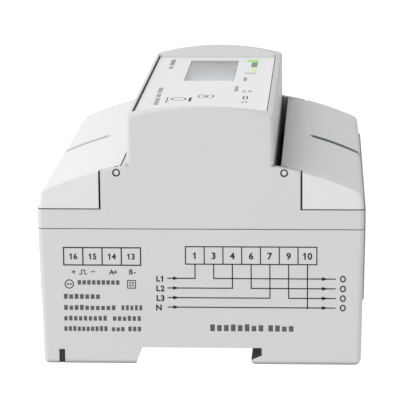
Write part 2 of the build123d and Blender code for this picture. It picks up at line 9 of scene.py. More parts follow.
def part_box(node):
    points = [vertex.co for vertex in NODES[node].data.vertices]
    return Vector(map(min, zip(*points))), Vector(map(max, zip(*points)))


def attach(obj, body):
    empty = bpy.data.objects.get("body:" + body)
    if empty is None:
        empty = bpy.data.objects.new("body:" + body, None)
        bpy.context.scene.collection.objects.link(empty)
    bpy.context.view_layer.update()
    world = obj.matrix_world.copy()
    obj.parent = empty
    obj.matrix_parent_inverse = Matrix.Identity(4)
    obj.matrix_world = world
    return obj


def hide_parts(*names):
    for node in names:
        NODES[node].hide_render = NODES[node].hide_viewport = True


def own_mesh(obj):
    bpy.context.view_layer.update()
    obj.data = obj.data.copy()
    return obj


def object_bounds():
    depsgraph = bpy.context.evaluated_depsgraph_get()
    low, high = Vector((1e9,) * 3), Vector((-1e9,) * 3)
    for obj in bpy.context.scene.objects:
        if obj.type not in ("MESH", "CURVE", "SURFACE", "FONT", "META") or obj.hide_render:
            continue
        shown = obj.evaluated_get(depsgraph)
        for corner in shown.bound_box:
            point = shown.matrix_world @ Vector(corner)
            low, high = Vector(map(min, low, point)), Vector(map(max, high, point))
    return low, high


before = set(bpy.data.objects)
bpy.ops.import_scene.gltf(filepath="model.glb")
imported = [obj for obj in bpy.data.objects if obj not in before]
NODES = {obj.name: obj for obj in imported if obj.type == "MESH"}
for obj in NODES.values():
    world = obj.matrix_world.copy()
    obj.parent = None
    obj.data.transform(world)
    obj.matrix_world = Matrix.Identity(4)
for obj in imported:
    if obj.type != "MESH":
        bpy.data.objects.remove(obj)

bl_info = {
    "name": "Rail meter parts",
    "version": (1, 0, 0),
    "blender": (4, 5, 0),
    "location": "View3D > Sidebar > Meter",
    "description": "Finishes, printed marks, springs and small parts of a rail meter",
    "category": "Object",
}

MM = 0.001
CAD_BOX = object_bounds()
FACE_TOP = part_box("faceplate")[1].z
NEAR_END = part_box("upper_housing")[0].y
POWER_NUMBERS = (1, 3, 4, 6, 7, 9, 10)
SIGNAL_NUMBERS = (13, 14, 15, 16)


# ---- settings


def colour(label, note, default):
    return FloatVectorProperty(
        name=label, description=note, subtype="COLOR", size=3, min=0, max=1, default=default
    )


def length(label, note, default_mm):
    return FloatProperty(name=label, description=note, unit="LENGTH", default=default_mm * MM)


def amount(label, note, default, unit="NONE"):
    return FloatProperty(name=label, description=note, unit=unit, default=default)


class FinishSettings(bpy.types.PropertyGroup):
    """Colours of the case, the inks and the display, and the case's surface."""

    case_colour: colour("Case", "Light grey of the moulded case", (0.585, 0.595, 0.598))
    cover_colour: colour("Covers", "Light grey of the terminal covers", (0.68, 0.685, 0.685))
    faceplate_colour: colour("Faceplate", "White of the printed faceplate", (0.735, 0.74, 0.755))
    ink_colour: colour("Ink", "Dark grey of the printed marks", (0.018, 0.018, 0.02))
    word_colour: colour("Word ink", "Grey of the blocks in place of words", (0.085, 0.085, 0.09))
    green_colour: colour("Green ink", "Green of the status mark", (0.36, 0.68, 0.22))
    lime_colour: colour("Lime ink", "Yellow-green of the status mark", (0.62, 0.73, 0.42))
    slate_colour: colour("Slate ink", "Grey-green of the status mark", (0.17, 0.24, 0.20))
    screen_colour: colour("Screen", "Blue-grey of the unlit display", (0.80, 0.93, 1.0))
    grain: length("Grain", "Size of the moulded grain", 0.45)
    edge_round: length("Edge rounding", "Radius that softens the moulded edges", 0.35)


class PrintSettings(bpy.types.PropertyGroup):
    """Sizes of the marks printed on the near end and the faceplate."""

    ink: length("Ink thickness", "Height of the printed ink", 0.02)
    thin_line: length("Thin line", "Width of the wiring lines", 0.34)
    cell_line: length("Cell line", "Width of the lines round the signal numbers", 0.38)
    number_height: length("Number height", "Height of the terminal numbers", 2.0)
    small_number_height: length("Small number height", "Height of the signal numbers", 1.75)


class SpringSettings(bpy.types.PropertyGroup):
    """The springs behind the rail clips."""

    wire: length("Wire", "Diameter of the spring wire", 0.45)
    turns: FloatProperty(name="Turns", description="Number of turns", default=7.0, min=2)
    steps: IntProperty(name="Steps", description="Sides along each turn", default=20, min=8)


class StageSettings(bpy.types.PropertyGroup):
    """Camera, lights and surroundings."""

    lens: amount("Lens", "Focal length", 190.12, "CAMERA")
    key_power: amount("Key", "Power of the key light", 2.6, "POWER")
    fill_power: amount("Fill", "Power of the fill light", 0.9, "POWER")
    sky: amount("Sky", "Strength of the white surroundings", 0.84)
    lean: amount("Lean", "How much brighter the surroundings are on the -X side", 0.42)
    bounce: amount("Bounce", "Glow of the floor on the meter", 0.90)


class MeterSettings(bpy.types.PropertyGroup):
    """Everything that a user would change."""

    finish: PointerProperty(type=FinishSettings, name="Finish")
    marks: PointerProperty(type=PrintSettings, name="Marks")
    spring: PointerProperty(type=SpringSettings, name="Springs")
    stage: PointerProperty(type=StageSettings, name="Stage")


# ---- nodes


class NodeMaker:
    """Adds nodes to a tree; an underscore in a socket's name stands for a space."""

    def __init__(self, tree):
        self.tree = tree

    def add(self, kind, settings=None, **inputs):
        node = self.tree.nodes.new(kind)
        for key, value in (settings or {}).items():
            setattr(node, key, value)
        for key, value in inputs.items():
            self.feed(node.inputs[key.replace("_", " ")], value)
        return node

    def feed(self, socket, value):
        if isinstance(value, bpy.types.NodeSocket):
            self.link(value, socket)
        else:
            socket.default_value = value

    def link(self, start, end):
        self.tree.links.new(start, end)

    def maths(self, operation, *values):
        node = self.add("ShaderNodeMath", {"operation": operation})
        for socket, value in zip(node.inputs, values):
            self.feed(socket, value)
        return node.outputs[0]

    def ramp(self, value, start, end, low=0.0, high=1.0):
        """Goes from low to high as the value goes from start to end."""
        node = self.add("ShaderNodeMapRange", Value=value, From_Min=start, From_Max=end)
        node.inputs["To Min"].default_value = low
        node.inputs["To Max"].default_value = high
        return node.outputs[0]


# ---- finishes


class Finish(NodeMaker):
    """Builds a node material from named patterns."""

    flat_dot = 0.995
    sharp_dot = 0.80

    def __init__(self, name):
        self.material = bpy.data.materials.new(name)
        self.material.use_nodes = True
        super().__init__(self.material.node_tree)
        self.tree.nodes.clear()
        output = self.add("ShaderNodeOutputMaterial")
        self.shader = self.add("ShaderNodeBsdfPrincipled")
        self.link(self.shader.outputs[0], output.inputs["Surface"])
        self.place = self.add("ShaderNodeTexCoord").outputs["Object"]

    def set(self, **values):
        """Sets the shader's own sockets."""
        for key, value in values.items():
            self.feed(self.shader.inputs[key.replace("_", " ")], value)

    def noise(self, size, detail=3.0, stretch=(1, 1, 1)):
        """Soft patches of about that size in metres."""
        mapping = self.add("ShaderNodeMapping", Vector=self.place, Scale=stretch)
        node = self.add("ShaderNodeTexNoise", Vector=mapping.outputs[0], Scale=1 / size)
        node.inputs["Detail"].default_value = detail
        return node.outputs["Fac"]

    def cells(self, size):
        """Small rounded cells of about that size in metres."""
        node = self.add("ShaderNodeTexVoronoi", Vector=self.place, Scale=1 / size)
        return node.outputs["Distance"]

    def between(self, factor, low, high):
        """A number that follows a pattern."""
        return self.ramp(factor, 0.0, 1.0, low, high)

    def blend(self, factor, first, second):
        """A colour that follows a pattern."""
        node = self.add("ShaderNodeMix", {"data_type": "RGBA"})
        self.feed(node.inputs["Factor"], factor)
        self.feed(node.inputs[6], first)
        self.feed(node.inputs[7], second)
        return node.outputs[2]

    def edges(self, radius, samples=6):
        """The rounded normal, and a factor that is 1 at a sharp edge and 0 on the flat."""
        rounded = self.add("ShaderNodeBevel", {"samples": samples}, Radius=radius)
        true = self.add("ShaderNodeNewGeometry").outputs["True Normal"]
        dot = self.add("ShaderNodeVectorMath", {"operation": "DOT_PRODUCT"})
        self.link(rounded.outputs[0], dot.inputs[0])
        self.link(true, dot.inputs[1])
        near = self.ramp(dot.outputs["Value"], self.flat_dot, self.sharp_dot)
        return rounded.outputs[0], near

    def crease(self, reach, samples=8):
        """How closed in a point is, from 0 in the open to 1 deep in a gap."""
        node = self.add("ShaderNodeAmbientOcclusion", {"samples": samples}, Distance=reach)
        return self.between(node.outputs["AO"], 1.0, 0.0)

    def bump(self, height, depth, strength, normal=None):
        node = self.add("ShaderNodeBump", Height=height, Distance=depth, Strength=strength)
        if normal is not None:
            self.link(normal, node.inputs["Normal"])
        self.link(node.outputs[0], self.shader.inputs["Normal"])


def tint(base, factor):
    """A lighter or darker colour, with its alpha."""
    return tuple(min(1.0, c * factor) for c in base) + (1.0,)


def moulded_plastic(name, base, grain, edge_radius, rough=(0.40, 0.52), shade=()):
    """Grained plastic with faint mottling and lighter edges.

    Each shade is painted shade: a reach, an amount and a dark colour that is blended in where
    ambient occlusion finds creases and hollows.
    """
    made = Finish(name)
    mottle = made.noise(28 * MM, 4)
    dust = made.noise(2.4 * MM, 5)
    rounded, edge = made.edges(edge_radius)
    body = made.blend(mottle, tint(base, 0.975), tint(base, 1.02))
    body = made.blend(made.between(dust, 0.0, 0.35), body, tint(base, 0.96))
    # Lighter colour near sharp edges.
    body = made.blend(made.between(edge, 0.0, 0.5), body, tint(base, 1.10))
    # Painted shade: darkens creases and hollows found by ambient occlusion.
    for reach, amount, dark in shade:
        body = made.blend(made.between(made.crease(reach), 0.0, amount), body, dark)
    made.set(Base_Color=body, Roughness=made.between(made.noise(6 * MM, 3), *rough))
    made.set(Specular_IOR_Level=0.42)
    made.bump(made.cells(grain), 0.012 * MM, 0.25, rounded)
    return made.material


def printed_film(name, base):
    """Smooth satin film with faint waviness."""
    made = Finish(name)
    body = made.blend(made.noise(20 * MM, 3), tint(base, 0.985), tint(base, 1.01))
    body = made.blend(made.between(made.noise(1.1 * MM, 4), 0.0, 0.25), body, tint(base, 0.97))
    made.set(Base_Color=body, Roughness=made.between(made.noise(9 * MM, 2), 0.30, 0.40))
    made.set(Specular_IOR_Level=0.45)
    made.bump(made.noise(5 * MM, 2), 0.02 * MM, 0.15)
    return made.material


def dry_ink(name, base, patchy=0.12):
    """Thin matt ink with slightly uneven cover."""
    made = Finish(name)
    body = made.blend(made.noise(0.5 * MM, 4), tint(base, 1 - patchy), tint(base, 1 + patchy * 2))
    made.set(Base_Color=body, Roughness=made.between(made.noise(1.5 * MM, 2), 0.5, 0.65))
    made.set(Specular_IOR_Level=0.3)
    made.bump(made.noise(0.3 * MM, 2), 0.004 * MM, 0.2)
    return made.material


def plated_steel(name, base, streak=(1, 1, 1), rough=(0.26, 0.44)):
    """Zinc plated steel with drawn streaks and dull patches."""
    made = Finish(name)
    grain = made.noise(0.25 * MM, 4, streak)
    patches = made.noise(3.0 * MM, 4)
    rounded, edge = made.edges(0.15 * MM, 4)
    body = made.blend(patches, tint(base, 0.86), tint(base, 1.05))
    body = made.blend(made.between(edge, 0.0, 0.6), body, tint(base, 1.25))
    made.set(Base_Color=body, Metallic=1.0, Roughness=made.between(grain, *rough))
    made.bump(grain, 0.006 * MM, 0.35, rounded)
    return made.material


def copper(name, base):
    """Rolled copper with brown patches."""
    made = Finish(name)
    grain = made.noise(0.35 * MM, 4, (0.1, 1, 1))
    patches = made.noise(5.0 * MM, 5)
    body = made.blend(patches, tint(base, 0.75), tint(base, 1.1))
    made.set(Base_Color=body, Metallic=1.0, Roughness=made.between(grain, 0.28, 0.5))
    made.bump(grain, 0.006 * MM, 0.3)
    return made.material


def circuit_board(name, base):
    """Green solder mask over straight copper tracks."""
    made = Finish(name)
    track = made.add("ShaderNodeTexBrick", Vector=made.place, Scale=260.0)
    track.inputs["Mortar Size"].default_value = 0.035
    track.inputs["Color1"].default_value = (0, 0, 0, 1)
    track.inputs["Color2"].default_value = (0.3, 0.3, 0.3, 1)
    track.inputs["Mortar"].default_value = (1, 1, 1, 1)
    body = made.blend(track.outputs["Fac"], tint(base, 0.85), tint(base, 1.6))
    body = made.blend(made.between(made.noise(6 * MM), 0, 0.3), body, tint(base, 0.6))
    made.set(Base_Color=body, Roughness=made.between(made.noise(2 * MM), 0.3, 0.45))
    made.bump(track.outputs["Fac"], 0.03 * MM, 0.4)
    return made.material


def wound_tape(name, base):
    """Overlapping turns of tape."""
    made = Finish(name)
    turns = made.add("ShaderNodeTexWave", Vector=made.place, Scale=180.0, Distortion=1.2)
    body = made.blend(turns.outputs["Fac"], tint(base, 0.8), tint(base, 1.1))
    made.set(Base_Color=body, Roughness=made.between(turns.outputs["Fac"], 0.3, 0.5))
    made.bump(turns.outputs["Fac"], 0.08 * MM, 0.5)
    return made.material


def clear_plastic(name, base, roughness=0.06):
    """Clear moulded window with faint rub marks."""
    made = Finish(name)
    rub = made.noise(1.8 * MM, 5, (0.3, 1, 1))
    made.set(Base_Color=made.blend(rub, tint(base, 0.985), tint(base, 1.0)))
    made.set(Roughness=made.between(rub, roughness * 0.7, roughness * 1.6))
    made.set(Transmission_Weight=1.0, IOR=1.45, Specular_IOR_Level=0.5)
    made.bump(made.noise(8 * MM, 2), 0.01 * MM, 0.1)
    return made.material


def display_cell(name, base):
    """The unlit liquid crystal: a dull blue-grey, with a painted dark reflection that darkens it
    towards the far end.
    """
    made = Finish(name)
    reflection_from, reflection_to = 27 * MM, 40 * MM
    cloud = made.noise(16 * MM, 2)
    dots = made.add("ShaderNodeTexChecker", Vector=made.place, Scale=4200.0)
    along = made.add("ShaderNodeSeparateXYZ", Vector=made.place).outputs["Y"]
    body = made.blend(cloud, tint(base, 0.96), tint(base, 1.04))
    # Painted reflection: the colour falls to half over the far end of the display.
    body = made.blend(made.ramp(along, reflection_from, reflection_to), body, tint(base, 0.5))
    body = made.blend(made.between(dots.outputs["Fac"], 0, 0.06), body, tint(base, 0.7))
    made.set(Base_Color=body, Roughness=made.between(made.noise(4 * MM), 0.22, 0.3))
    made.set(Specular_IOR_Level=0.4)
    made.bump(cloud, 0.005 * MM, 0.1)
    return made.material


def soft_rubber(name, base):
    """Dull grained rubber."""
    made = Finish(name)
    body = made.blend(made.noise(1.5 * MM, 5), tint(base, 0.7), tint(base, 1.6))
    made.set(Base_Color=body, Roughness=made.between(made.noise(0.8 * MM), 0.7, 0.9))
    made.bump(made.cells(0.3 * MM), 0.03 * MM, 0.4)
    return made.material


def paint_nodes(material, *names):
    """Gives CAD pieces a finish."""
    for name in names:
        slots = NODES[name].material_slots
        if not slots:
            NODES[name].data.materials.append(material)
        for slot in slots:
            slot.link = "OBJECT"
            slot.material = material


# ---- mesh helpers


def placed(name, mesh):
    piece = bpy.data.objects.new(name, mesh)
    bpy.context.scene.collection.objects.link(piece)
    return piece


def settle(piece, body):
    """A finished piece rides on its body."""
    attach(piece, body)


def shift(u, v, w=0.0):
    """A move in millimetres."""
    return Matrix.Translation((u * MM, v * MM, w * MM))


END_FACE = Matrix(((1, 0, 0, 0), (0, 0, -1, NEAR_END), (0, 1, 0, 0), (0, 0, 0, 1)))
FACEPLATE = Matrix.Translation((0, 0, FACE_TOP))
QUARTER_TURN = Matrix.Rotation(math.pi / 2, 4, "Z")


class Marks:
    """Flat ink marks drawn in a plane, in millimetres, and raised by the ink's thickness."""

    figure_pitch = 0.74
    figure_cap = 0.70
    flag_near, flag_far = 0.07, 0.34
    flag_drops = (0.27, 0.42, 0.20)

    def __init__(self, plane, ink):
        self.plane = plane
        self.ink = ink
        self.mesh = bmesh.new()

    def patch(self, outline):
        """A filled outline, as a thin closed prism."""
        low = [self.mesh.verts.new((u * MM, v * MM, 0)) for u, v in outline]
        high = [self.mesh.verts.new((u * MM, v * MM, self.ink)) for u, v in outline]
        self.mesh.faces.new(high)
        self.mesh.faces.new(low[::-1])
        for i in range(len(outline)):
            j = (i + 1) % len(outline)
            self.mesh.faces.new((low[i], low[j], high[j], high[i]))

    def bar(self, u0, u1, v0, v1):
        self.patch([(u0, v0), (u1, v0), (u1, v1), (u0, v1)])

    def path(self, points, width):
        """A line with square corners; every run is level or upright."""
        half = width / 2
        for (u0, v0), (u1, v1) in zip(points, points[1:]):
            low = min(u0, u1) - half, min(v0, v1) - half
            high = max(u0, u1) + half, max(v0, v1) + half
            self.bar(low[0], high[0], low[1], high[1])

    def frame(self, u0, u1, v0, v1, width):
        self.path([(u0, v0), (u1, v0), (u1, v1), (u0, v1), (u0, v0)], width)

    def arrow(self, u, v, reach, half):
        self.patch([(u, v - half), (u + reach, v), (u, v + half)])

    def ring(self, u, v, radius_u, radius_v, width, start=0.0, end=360.0, steps=36):
        """Part of an oval line."""
        angles = [math.radians(start + (end - start) * i / steps) for i in range(steps + 1)]
        for a, b in zip(angles, angles[1:]):
            corners = []
            for angle, grow in ((a, 0.5), (b, 0.5), (b, -0.5), (a, -0.5)):
                corners.append((
                    u + (radius_u + grow * width) * math.cos(angle),
                    v + (radius_v + grow * width) * math.sin(angle),
                ))
            self.patch(corners[::-1] if end > start else corners)

    def disc(self, u, v, radius, sides=20):
        turns = [2 * math.pi * i / sides for i in range(sides)]
        self.patch([(u + radius * math.cos(t), v + radius * math.sin(t)) for t in turns])

    def figure(self, text, u, v, height, weight=0.02):
        """A number or sign, centred, with a cap of that height."""
        pitch = self.figure_pitch * height
        for i, letter in enumerate(text):
            at = u + (i - (len(text) - 1) / 2) * pitch
            self.glyph(letter, at, v, height, weight)

    def glyph(self, letter, u, v, height, weight):
        shape = raised_glyph(letter, weight)
        scale = height * MM / self.figure_cap
        grow = Matrix.Diagonal((scale, scale, self.ink, 1))
        shape.transform(Matrix.Translation((u * MM, (v - height / 2) * MM, 0)) @ grow)
        temp = bpy.data.meshes.new("Figure")
        shape.to_mesh(temp)
        shape.free()
        self.mesh.from_mesh(temp)
        bpy.data.meshes.remove(temp)
        if letter == "1":
            self.flag(u, v + height / 2, height)

    def flag(self, u, top, height):
        """The slanted stroke at the head of a 1."""
        near, far = u - self.flag_near * height, u - self.flag_far * height
        tip, base, root = (top - drop * height for drop in self.flag_drops)
        self.patch([(near, top), (far, tip), (far, base), (near, root)])

    def finish(self, name, material):
        bmesh.ops.recalc_face_normals(self.mesh, faces=self.mesh.faces)
        self.mesh.transform(self.plane)
        mesh = bpy.data.meshes.new(name)
        self.mesh.to_mesh(mesh)
        self.mesh.free()
        mesh.materials.append(material)
        return placed(name, mesh)


def raised_glyph(letter, weight):
    """One sign as a closed slab one unit thick, centred on its own width."""
    curve = bpy.data.curves.new("Figure", "FONT")
    curve.body = letter
    curve.offset = weight
    curve.resolution_u = 4
    holder = bpy.data.objects.new("Figure", curve)
    bpy.context.scene.collection.objects.link(holder)
    bpy.context.view_layer.update()
    flat = bpy.data.meshes.new_from_object(
        holder.evaluated_get(bpy.context.evaluated_depsgraph_get())
    )
    bpy.data.objects.remove(holder)
    shape = bmesh.new()
    shape.from_mesh(flat)
    bpy.data.meshes.remove(flat)
    bmesh.ops.remove_doubles(shape, verts=shape.verts, dist=1e-5)
    raised = bmesh.ops.extrude_face_region(shape, geom=list(shape.faces))
    tops = [g for g in raised["geom"] if isinstance(g, bmesh.types.BMVert)]
    bmesh.ops.translate(shape, verts=tops, vec=(0, 0, 1))
    bmesh.ops.recalc_face_normals(shape, faces=shape.faces)
    across = [corner.co.x for corner in shape.verts]
    middle = (min(across) + max(across)) / 2
    bmesh.ops.translate(shape, verts=shape.verts, vec=(-middle, 0, 0))
    return shape


# ---- node modifiers


class Tree(NodeMaker):
    """A geometry tree with inputs listed by their kind, and a material."""

    def __init__(self, name, **inputs):
        super().__init__(bpy.data.node_groups.new(name, "GeometryNodeTree"))
        face = self.tree.interface
        face.new_socket("Geometry", in_out="OUTPUT", socket_type="NodeSocketGeometry")
        for kind, labels in (*inputs.items(), ("Material", ("Material",))):
            for label in labels:
                face.new_socket(label, in_out="INPUT", socket_type="NodeSocket" + kind)
        self.start = self.add("NodeGroupInput")
        self.end = self.add("NodeGroupOutput")

    def given(self, label):
        return self.start.outputs[label]

    def vector(self, x, y, z):
        return self.add("ShaderNodeCombineXYZ", X=x, Y=y, Z=z).outputs[0]

    def line(self, count, offset):
        return self.add("GeometryNodeMeshLine", Count=count, Offset=offset).outputs[0]

    def block(self, size):
        return self.add("GeometryNodeMeshCube", Size=size).outputs["Mesh"]

    def copies(self, points, shape, scale=None):
        node = self.add("GeometryNodeInstanceOnPoints", Points=points, Instance=shape)
        if scale is not None:
            self.feed(node.inputs["Scale"], scale)
        return node.outputs[0]

    def moved(self, geometry, translation, rotation=(0, 0, 0)):
        node = self.add("GeometryNodeTransform", Geometry=geometry, Translation=translation)
        self.feed(node.inputs["Rotation"], rotation)
        return node.outputs[0]

    def uneven(self, lowest):
        """A scale for each copy, drawn between the lowest and 1."""
        node = self.add("FunctionNodeRandomValue", {"data_type": "FLOAT"})
        self.feed(node.inputs[2], lowest)
        self.feed(node.inputs[3], 1.0)
        self.feed(node.inputs["Seed"], self.given("Seed"))
        return node.outputs[1]

    def joined(self, *shapes):
        node = self.add("GeometryNodeJoinGeometry")
        for shape in shapes:
            self.link(shape, node.inputs[0])
        return node.outputs[0]

    def close(self, *shapes):
        """Joins the shapes, makes them real and gives them their finish."""
        real = self.add("GeometryNodeRealizeInstances", Geometry=self.joined(*shapes))
        coat = self.add("GeometryNodeSetMaterial", Geometry=real.outputs[0])
        self.feed(coat.inputs["Material"], self.given("Material"))
        self.link(coat.outputs[0], self.end.inputs[0])
        return self.tree


def grown(name, tree, **inputs):
    """Runs a tree and keeps what it makes as a plain mesh."""
    host = placed(name, bpy.data.meshes.new(name))
    modifier = host.modifiers.new("Shape", "NODES")
    modifier.node_group = tree
    labels = {item.name: item.identifier for item in tree.interface.items_tree}
    for key, value in inputs.items():
        modifier[labels[key.replace("_", " ")]] = value
    bpy.context.view_layer.update()
    ready = host.evaluated_get(bpy.context.evaluated_depsgraph_get())
    mesh = bpy.data.meshes.new_from_object(ready)
    host.modifiers.remove(modifier)
    host.data = mesh
    mesh.name = name
    mesh.materials.clear()
    mesh.materials.append(inputs["Material"])
    mesh.polygons.foreach_set("material_index", [0] * len(mesh.polygons))
    if not mesh.polygons:
        raise RuntimeError(f"{name} came out empty")
    return host


def lay_rows(name, tree, rows):
    """Runs a tree once for each row, sets it in its place, and joins the rows as one piece."""
    whole = bmesh.new()
    for place, inputs in rows:
        row = grown(f"{name} row", tree, **inputs)
        row.data.transform(place)
        whole.from_mesh(row.data)
        bpy.data.objects.remove(row)
    mesh = bpy.data.meshes.new(name)
    whole.to_mesh(mesh)
    whole.free()
    mesh.materials.append(inputs["Material"])
    settle(placed(name, mesh), "case")


def cell_row_tree():
    """A row of open cells: upright lines between two long ones."""
    sizes = ("Cell width", "Cell height", "Line width", "Ink")
    tree = Tree("Row of cells", Int=("Cells",), Float=sizes)
    cells, width, height = (tree.given(k) for k in ("Cells", "Cell width", "Cell height"))
    line, ink = tree.given("Line width"), tree.given("Ink")
    posts = tree.line(tree.maths("ADD", cells, 1), tree.vector(width, 0, 0))
    upright = tree.copies(posts, tree.block(tree.vector(line, height, ink)))
    row = tree.maths("MULTIPLY", cells, width)
    rails = tree.line(2, tree.vector(0, height, 0))
    level = tree.copies(rails, tree.block(tree.vector(tree.maths("ADD", row, line), line, ink)))
    half_row = tree.maths("MULTIPLY", row, 0.5)
    half_height = tree.maths("MULTIPLY", height, 0.5)
    rise = tree.maths("MULTIPLY", ink, 0.5)
    return tree.close(
        tree.moved(upright, tree.vector(0, half_height, rise)),
        tree.moved(level, tree.vector(half_row, 0, rise)),
    )


def word_tree():
    """A plain word: a row of blocks of uneven height that stands for letters."""
    sizes = ("Pitch", "Block width", "Height", "Lowest", "Ink")
    tree = Tree("Plain word", Int=("Blocks", "Seed"), Float=sizes)
    size = tree.vector(tree.given("Block width"), tree.given("Height"), tree.given("Ink"))
    points = tree.line(tree.given("Blocks"), tree.vector(tree.given("Pitch"), 0, 0))
    scale = tree.vector(1, tree.uneven(tree.given("Lowest")), 1)
    rise = tree.maths("MULTIPLY", tree.given("Ink"), 0.5)
    half = tree.maths("MULTIPLY", tree.given("Height"), 0.5)
    lifted = tree.moved(tree.block(size), tree.vector(0, half, rise))
    return tree.close(tree.copies(points, lifted, scale))


def coil_tree():
    """A coil spring along +X from the origin."""
    tree = Tree("Coil", Float=("Length", "Radius", "Wire", "Turns"), Int=("Steps",))
    wire, radius = tree.given("Wire"), tree.given("Radius")
    run = tree.maths("SUBTRACT", tree.given("Length"), wire)
    spiral = tree.add(
        "GeometryNodeCurveSpiral",
        Resolution=tree.given("Steps"),
        Rotations=tree.given("Turns"),
        Start_Radius=radius,
        End_Radius=radius,
        Height=run,
    )
    half = tree.maths("MULTIPLY", wire, 0.5)
    section = tree.add("GeometryNodeCurvePrimitiveCircle", Resolution=8, Radius=half)
    coil = tree.add(
        "GeometryNodeCurveToMesh",
        Curve=spiral.outputs[0],
        Profile_Curve=section.outputs[0],
        Fill_Caps=True,
    )
    laid = tree.moved(coil.outputs[0], tree.vector(half, 0, 0), (0, math.pi / 2, 0))
    return tree.close(laid)


def digit_row_tree():
    """Seven-bar digits in a row, as an unlit display shows them."""
    corner_gap = 1.3
    sizes = ("Pitch", "Width", "Height", "Bar", "Thickness")
    tree = Tree("Row of digits", Int=("Digits",), Float=sizes)
    width, height, bar = (tree.given(k) for k in ("Width", "Height", "Bar"))
    thick = tree.given("Thickness")
    gap = tree.maths("MULTIPLY", bar, corner_gap)
    inner = tree.maths("SUBTRACT", width, gap)
    level = tree.block(tree.vector(inner, bar, thick))
    half = tree.maths("MULTIPLY", height, 0.5)
    rows = tree.copies(tree.line(3, tree.vector(0, half, 0)), level)
    stroke = tree.block(tree.vector(bar, tree.maths("SUBTRACT", half, gap), thick))
    quarter = tree.maths("MULTIPLY", height, 0.25)
    half_width = tree.maths("MULTIPLY", width, 0.5)
    sides = []
    for turn in (1, -1):
        pair = tree.copies(tree.line(2, tree.vector(0, half, 0)), stroke)
        across = tree.maths("MULTIPLY", half_width, turn)
        sides.append(tree.moved(pair, tree.vector(across, quarter, 0)))
    points = tree.line(tree.given("Digits"), tree.vector(tree.given("Pitch"), 0, 0))
    return tree.close(tree.copies(points, tree.joined(rows, *sides)))


def parts_row_tree():
    """Small board parts along a line, as legs or chip resistors."""
    tree = Tree(
        "Row of board parts",
        Int=("Count", "Seed"),
        Vector=("Step", "Size"),
        Float=("Unevenness",),
    )
    points = tree.line(tree.given("Count"), tree.given("Step"))
    size = tree.uneven(tree.maths("SUBTRACT", 1.0, tree.given("Unevenness")))
    scale = tree.vector(size, size, size)
    return tree.close(tree.copies(points, tree.block(tree.given("Size")), scale))


def word_rows(name, lines, plane, turn, marks, ink, first_seed):
    """Rows of plain blocks in place of wording, as one piece.

    A line gives its start (u, v), and its blocks' number, pitch, width, height and
    lowest share of that height.
    """
    rows = []
    for seed, (u, v, blocks, pitch, width, height, lowest) in enumerate(lines, first_seed):
        rows.append((plane @ shift(u, v) @ turn @ shift(width / 2, 0), dict(
            Blocks=blocks, Pitch=pitch * MM, Block_width=width * MM, Height=height * MM,
            Lowest=lowest, Ink=marks.ink, Seed=seed, Material=ink,
        )))
    lay_rows(name, word_tree(), rows)


# ---- pieces


class MeterOperator(bpy.types.Operator):
    bl_options = {"REGISTER", "UNDO"}


class METER_OT_case(MeterOperator):
    """Give the case, covers and faceplate their moulded finish"""

    bl_idname = "meter.case"
    bl_label = "Case and covers"

    def execute(self, context):
        finish = context.scene.meter.finish
        # Painted shade: the case and cover finishes go nearly black within 1.2 mm of gaps and
        # seams, where light is blocked.
        painted_seam_shade = (1.2 * MM, 1.5, (0.02, 0.02, 0.02, 1))
        # Painted shade: the right cover alone darkens to blue-grey within 10 mm of the nose and
        # other walls, though it is the same plastic as the left cover.
        painted_hollow_shade = (10 * MM, 1.55, (0.13, 0.17, 0.18, 1))
        rough = (0.38, 0.50)
        case, cover = finish.case_colour, finish.cover_colour
        for label, base, shade, nodes in (
            ("Grey case plastic", case, (painted_seam_shade,), ("base_housing", "upper_housing")),
            ("Pale cover plastic", cover, (painted_seam_shade,), ("left_terminal_cover",)),
            ("Shaded cover plastic", cover, (painted_seam_shade, painted_hollow_shade), ("right_terminal_cover",)),
        ):
            made = moulded_plastic(label, base, finish.grain, finish.edge_round, rough, shade)
            paint_nodes(made, *nodes)
        paint_nodes(printed_film("White faceplate film", finish.faceplate_colour), "faceplate")
        # Painted shade: the rail strip and the foot slot plugs are black pieces that stand in for
        # deep shade in the rail hook recess and the foot notches.
        shade_black = soft_rubber("Black strip rubber", (0.02, 0.02, 0.021))
        paint_nodes(shade_black, "rail_strip", "foot_slot_plugs")
        return {"FINISHED"}


class METER_OT_display(MeterOperator):
    """Finish the display and draw its unlit digits"""

    bl_idname = "meter.display"
    bl_label = "Display and lamps"

    digit_rows = ((26, 6, 2.3, 5.5), (12, 8, 1.7, 3.6))
    digit_share = 0.62
    digit_bar = 0.28 * MM
    digit_thickness = 0.02 * MM
    digit_lift = 0.01 * MM
    digit_tone = 0.8

    def execute(self, context):
        finish = context.scene.meter.finish
        paint_nodes(clear_plastic("Clear window plastic", (0.97, 0.98, 1.0)), "display_window")
        dark = moulded_plastic("Dark well plastic", (0.16, 0.165, 0.17), 0.4 * MM, 0.2 * MM)
        paint_nodes(dark, "display_frame")
        paint_nodes(display_cell("Unlit display cell", finish.screen_colour), "display_glass")
        paint_nodes(clear_plastic("Red light pipe", (0.85, 0.35, 0.33), 0.15), "light_pipes")
        paint_nodes(dry_ink("Red lamp body", (0.6, 0.06, 0.05)), "indicator_lamps")
        white = moulded_plastic("White light box", (0.75, 0.75, 0.73), 0.4 * MM, 0.2 * MM)
        paint_nodes(white, "display_backlight")
        faded = tuple(c * self.digit_tone for c in finish.screen_colour)
        self.digits(dry_ink("Unlit digit tone", faded, 0.03))
        return {"FINISHED"}

    def digits(self, tone):
        """Each row is its place along the meter, its count, its pitch and its height."""
        low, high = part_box("display_glass")
        rows = []
        for start, digits, pitch, tall in self.digit_rows:
            left = (low.x + high.x) / 2 - (digits - 1) * pitch * MM / 2
            place = Matrix.Translation((left, start * MM, high.z + self.digit_lift))
            rows.append((place, dict(
                Digits=digits, Pitch=pitch * MM, Width=pitch * self.digit_share * MM,
                Height=tall * MM, Bar=self.digit_bar, Thickness=self.digit_thickness,
                Material=tone,
            )))
        lay_rows("unlit_digits", digit_row_tree(), rows)


